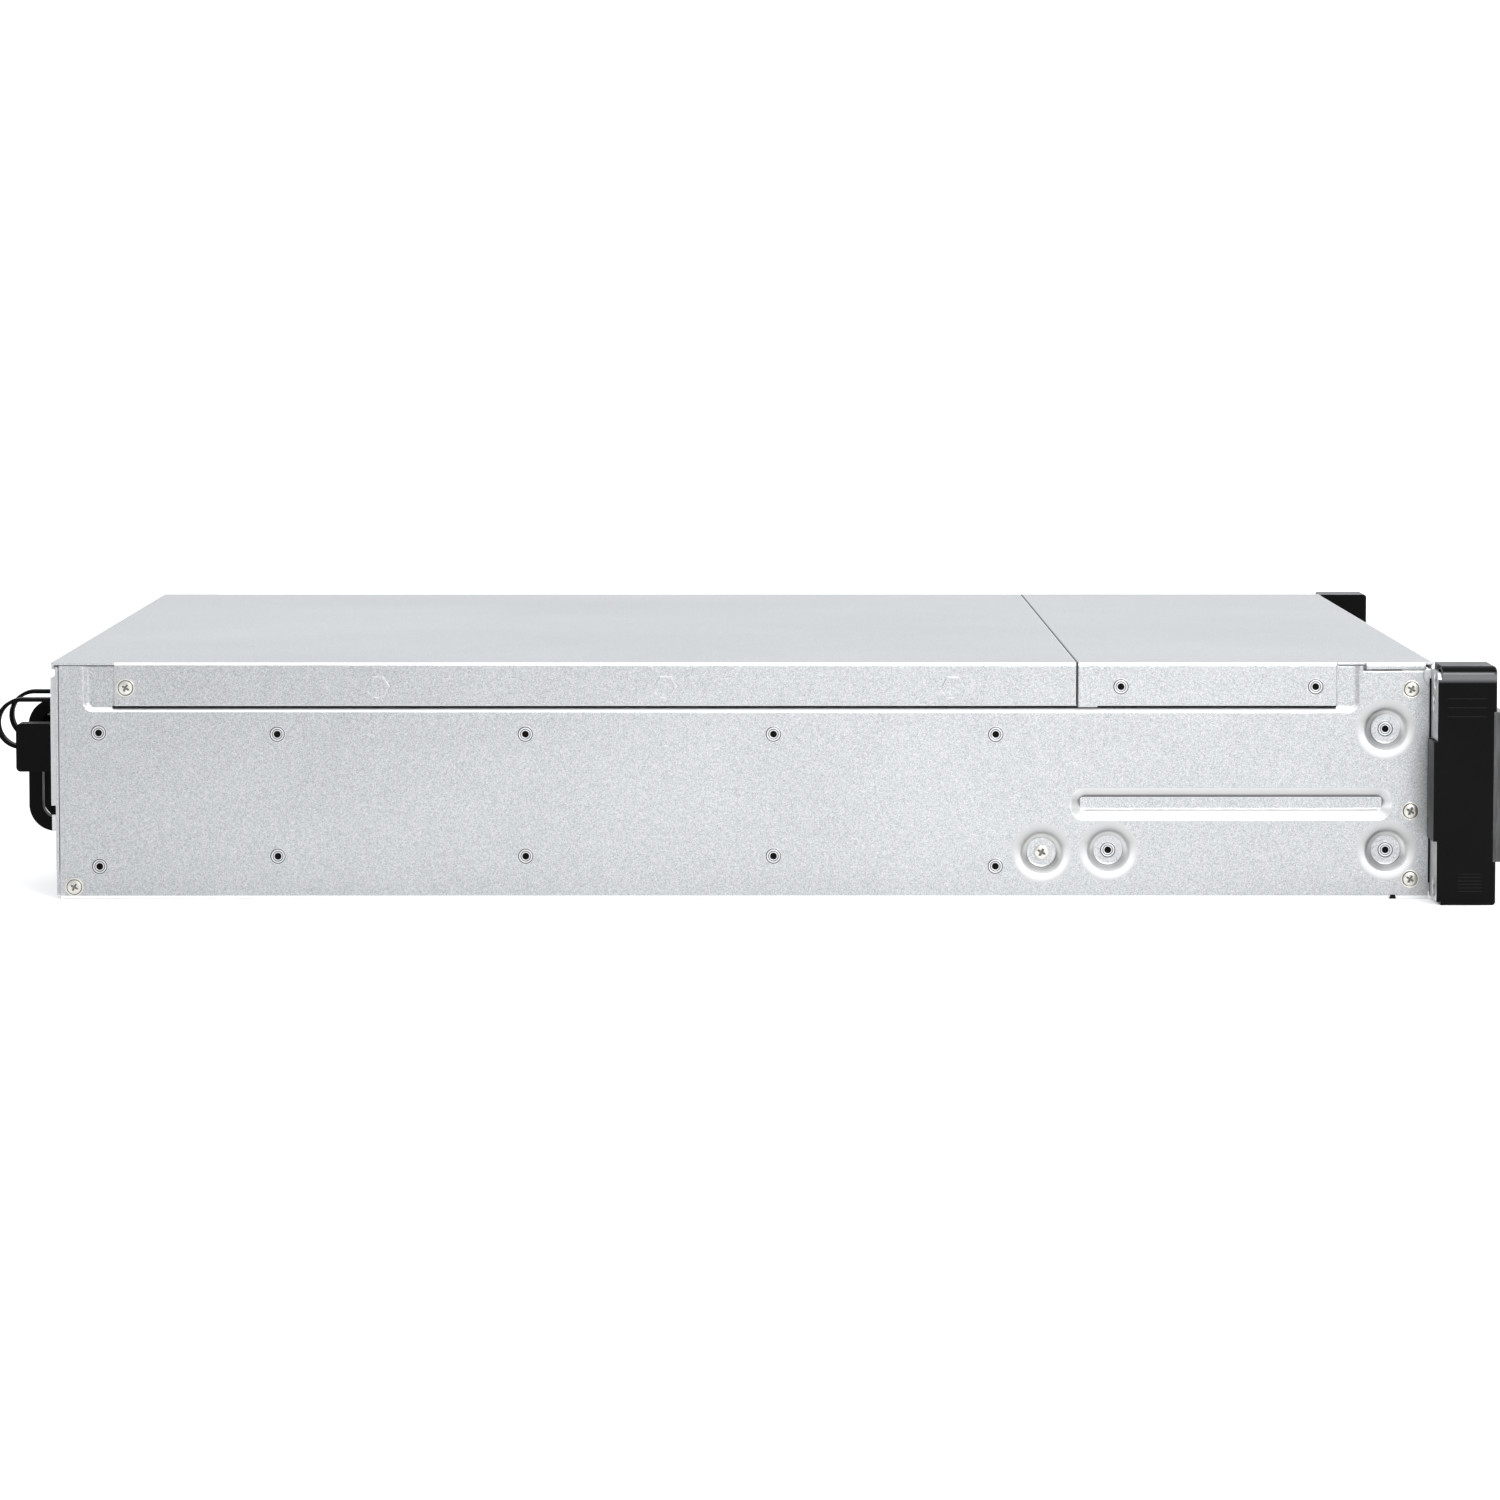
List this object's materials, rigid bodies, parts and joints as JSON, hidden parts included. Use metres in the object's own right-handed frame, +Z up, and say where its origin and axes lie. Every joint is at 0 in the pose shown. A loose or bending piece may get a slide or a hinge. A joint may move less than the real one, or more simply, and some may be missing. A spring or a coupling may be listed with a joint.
{
  "type": "rack-mount network storage chassis",
  "caption": "Flat rack-mount storage server: zinc-coated steel box with a two-piece lid, black rack ears, pull-out drive trays with levers, plug-in supplies.",
  "frame": {"origin": "centre of the chassis floor's underside, midway between the side panels' front and rear edges", "axes": "+X across the rack, +Y towards the rear sockets, +Z up; the drive trays face -Y"},
  "size_m": [0.4826, 0.5578, 0.088],
  "materials": {
    "zinc_sheet": "galvanised",
    "cage_sheet": "galvanised",
    "bracket_steel": "satin",
    "ear_plastic": "satin",
    "trim_metal": "satin",
    "button_plastic": "satin",
    "circuit_board": "solder mask",
    "fan_plastic": "satin",
    "sink_aluminium": "milled",
    "port_metal": "plated",
    "nut_steel": "plated",
    "screw_nickel": "nickel plated",
    "psu_steel": "galvanised",
    "handle_plastic": "satin",
    "tray_plastic": "fine grain",
    "lever_plastic": "satin",
    "latch_steel": "sprung"
  },
  "bodies": {
    "chassis": {"chassis_base": "zinc_sheet", "rear_panel": "zinc_sheet", "front_top_cover": "zinc_sheet", "ear_brackets": "bracket_steel", "left_ear_cover": "ear_plastic", "right_ear_cover": "ear_plastic", "ear_trims": "trim_metal", "drive_cage": "cage_sheet", "backplane": "circuit_board", "fan_bracket": "cage_sheet", "fan_frames": "fan_plastic", "motherboard": "circuit_board", "cpu_heatsink": "sink_aluminium", "memory_modules": "circuit_board", "rear_ports": "port_metal", "expansion_slot_cover": "bracket_steel", "psu_cage": "psu_steel", "power_board": "circuit_board", "clinch_hardware": "nut_steel", "chassis_screws": "screw_nickel"},
    "top_cover": {"rear_top_cover": "zinc_sheet", "cover_pins": "nut_steel"},
    "power_button": {"power_button": "button_plastic"},
    "fan_1": {"fan_rotor_1": "fan_plastic"},
    "fan_2": {"fan_rotor_2": "fan_plastic"},
    "fan_3": {"fan_rotor_3": "fan_plastic"},
    "psu_1": {"psu_1_case": "psu_steel", "psu_1_handle": "handle_plastic", "psu_1_inlet": "handle_plastic", "psu_1_cord_retainer": "handle_plastic"},
    "psu_1_latch": {"psu_1_latch": "latch_steel"},
    "psu_2": {"psu_2_case": "psu_steel", "psu_2_handle": "handle_plastic", "psu_2_inlet": "handle_plastic", "psu_2_cord_retainer": "handle_plastic"},
    "psu_2_latch": {"psu_2_latch": "latch_steel"},
    "tray_01": {"tray_01": "tray_plastic"},
    "lever_01": {"lever_01": "lever_plastic"},
    "tray_02": {"tray_02": "tray_plastic"},
    "lever_02": {"lever_02": "lever_plastic"},
    "tray_03": {"tray_03": "tray_plastic"},
    "lever_03": {"lever_03": "lever_plastic"},
    "tray_04": {"tray_04": "tray_plastic"},
    "lever_04": {"lever_04": "lever_plastic"},
    "tray_05": {"tray_05": "tray_plastic"},
    "lever_05": {"lever_05": "lever_plastic"},
    "tray_06": {"tray_06": "tray_plastic"},
    "lever_06": {"lever_06": "lever_plastic"},
    "tray_07": {"tray_07": "tray_plastic"},
    "lever_07": {"lever_07": "lever_plastic"},
    "tray_08": {"tray_08": "tray_plastic"},
    "lever_08": {"lever_08": "lever_plastic"},
    "tray_09": {"tray_09": "tray_plastic"},
    "lever_09": {"lever_09": "lever_plastic"},
    "tray_10": {"tray_10": "tray_plastic"},
    "lever_10": {"lever_10": "lever_plastic"},
    "tray_11": {"tray_11": "tray_plastic"},
    "lever_11": {"lever_11": "lever_plastic"},
    "tray_12": {"tray_12": "tray_plastic"},
    "lever_12": {"lever_12": "lever_plastic"}
  },
  "joints": [
    {"name": "fan_1_spin", "type": "hinge", "parent": "chassis", "child": "fan_1", "pos_m": [-0.14, -0.05265, 0.0425], "axis": [0, 1, 0], "continuous": true},
    {"name": "fan_2_spin", "type": "hinge", "parent": "chassis", "child": "fan_2", "pos_m": [0, -0.05265, 0.0425], "axis": [0, 1, 0], "continuous": true},
    {"name": "fan_3_spin", "type": "hinge", "parent": "chassis", "child": "fan_3", "pos_m": [0.14, -0.05265, 0.0425], "axis": [0, 1, 0], "continuous": true},
    {"name": "top_cover_lift", "type": "slide", "parent": "chassis", "child": "top_cover", "axis": [0, 0, 1], "range_m": [0, 0.12]},
    {"name": "power_button_press", "type": "slide", "parent": "chassis", "child": "power_button", "axis": [0, 1, 0], "range_m": [0, 0.001], "stiffness_N_per_m": 600},
    {"name": "psu_1_slide", "type": "slide", "parent": "chassis", "child": "psu_1", "axis": [0, 1, 0], "range_m": [0, 0.19]},
    {"name": "psu_1_latch_press", "type": "hinge", "parent": "psu_1", "child": "psu_1_latch", "pos_m": [-0.2135, 0.21325, 0.028], "axis": [0, 0, -1], "range_deg": [0, 2.5], "stiffness_Nm_per_rad": 0.05},
    {"name": "psu_2_slide", "type": "slide", "parent": "chassis", "child": "psu_2", "axis": [0, 1, 0], "range_m": [0, 0.19]},
    {"name": "psu_2_latch_press", "type": "hinge", "parent": "psu_2", "child": "psu_2_latch", "pos_m": [-0.1719, 0.21325, 0.028], "axis": [0, 0, -1], "range_deg": [0, 2.5], "stiffness_Nm_per_rad": 0.05},
    {"name": "tray_01_slide", "type": "slide", "parent": "chassis", "child": "tray_01", "axis": [0, -1, 0], "range_m": [0, 0.155]},
    {"name": "lever_01_swing", "type": "hinge", "parent": "tray_01", "child": "lever_01", "pos_m": [-0.2031, -0.24885, 0.0105], "axis": [0, 0, -1], "range_deg": [0, 60]},
    {"name": "tray_02_slide", "type": "slide", "parent": "chassis", "child": "tray_02", "axis": [0, -1, 0], "range_m": [0, 0.155]},
    {"name": "lever_02_swing", "type": "hinge", "parent": "tray_02", "child": "lever_02", "pos_m": [-0.0957, -0.24885, 0.0105], "axis": [0, 0, -1], "range_deg": [0, 60]},
    {"name": "tray_03_slide", "type": "slide", "parent": "chassis", "child": "tray_03", "axis": [0, -1, 0], "range_m": [0, 0.155]},
    {"name": "lever_03_swing", "type": "hinge", "parent": "tray_03", "child": "lever_03", "pos_m": [0.0117, -0.24885, 0.0105], "axis": [0, 0, -1], "range_deg": [0, 60]},
    {"name": "tray_04_slide", "type": "slide", "parent": "chassis", "child": "tray_04", "axis": [0, -1, 0], "range_m": [0, 0.155]},
    {"name": "lever_04_swing", "type": "hinge", "parent": "tray_04", "child": "lever_04", "pos_m": [0.1191, -0.24885, 0.0105], "axis": [0, 0, -1], "range_deg": [0, 60]},
    {"name": "tray_05_slide", "type": "slide", "parent": "chassis", "child": "tray_05", "axis": [0, -1, 0], "range_m": [0, 0.155]},
    {"name": "lever_05_swing", "type": "hinge", "parent": "tray_05", "child": "lever_05", "pos_m": [-0.2031, -0.24885, 0.0388], "axis": [0, 0, -1], "range_deg": [0, 60]},
    {"name": "tray_06_slide", "type": "slide", "parent": "chassis", "child": "tray_06", "axis": [0, -1, 0], "range_m": [0, 0.155]},
    {"name": "lever_06_swing", "type": "hinge", "parent": "tray_06", "child": "lever_06", "pos_m": [-0.0957, -0.24885, 0.0388], "axis": [0, 0, -1], "range_deg": [0, 60]},
    {"name": "tray_07_slide", "type": "slide", "parent": "chassis", "child": "tray_07", "axis": [0, -1, 0], "range_m": [0, 0.155]},
    {"name": "lever_07_swing", "type": "hinge", "parent": "tray_07", "child": "lever_07", "pos_m": [0.0117, -0.24885, 0.0388], "axis": [0, 0, -1], "range_deg": [0, 60]},
    {"name": "tray_08_slide", "type": "slide", "parent": "chassis", "child": "tray_08", "axis": [0, -1, 0], "range_m": [0, 0.155]},
    {"name": "lever_08_swing", "type": "hinge", "parent": "tray_08", "child": "lever_08", "pos_m": [0.1191, -0.24885, 0.0388], "axis": [0, 0, -1], "range_deg": [0, 60]},
    {"name": "tray_09_slide", "type": "slide", "parent": "chassis", "child": "tray_09", "axis": [0, -1, 0], "range_m": [0, 0.155]},
    {"name": "lever_09_swing", "type": "hinge", "parent": "tray_09", "child": "lever_09", "pos_m": [-0.2031, -0.24885, 0.0671], "axis": [0, 0, -1], "range_deg": [0, 60]},
    {"name": "tray_10_slide", "type": "slide", "parent": "chassis", "child": "tray_10", "axis": [0, -1, 0], "range_m": [0, 0.155]},
    {"name": "lever_10_swing", "type": "hinge", "parent": "tray_10", "child": "lever_10", "pos_m": [-0.0957, -0.24885, 0.0671], "axis": [0, 0, -1], "range_deg": [0, 60]},
    {"name": "tray_11_slide", "type": "slide", "parent": "chassis", "child": "tray_11", "axis": [0, -1, 0], "range_m": [0, 0.155]},
    {"name": "lever_11_swing", "type": "hinge", "parent": "tray_11", "child": "lever_11", "pos_m": [0.0117, -0.24885, 0.0671], "axis": [0, 0, -1], "range_deg": [0, 60]},
    {"name": "tray_12_slide", "type": "slide", "parent": "chassis", "child": "tray_12", "axis": [0, -1, 0], "range_m": [0, 0.155]},
    {"name": "lever_12_swing", "type": "hinge", "parent": "tray_12", "child": "lever_12", "pos_m": [0.1191, -0.24885, 0.0671], "axis": [0, 0, -1], "range_deg": [0, 60]}
  ]
}
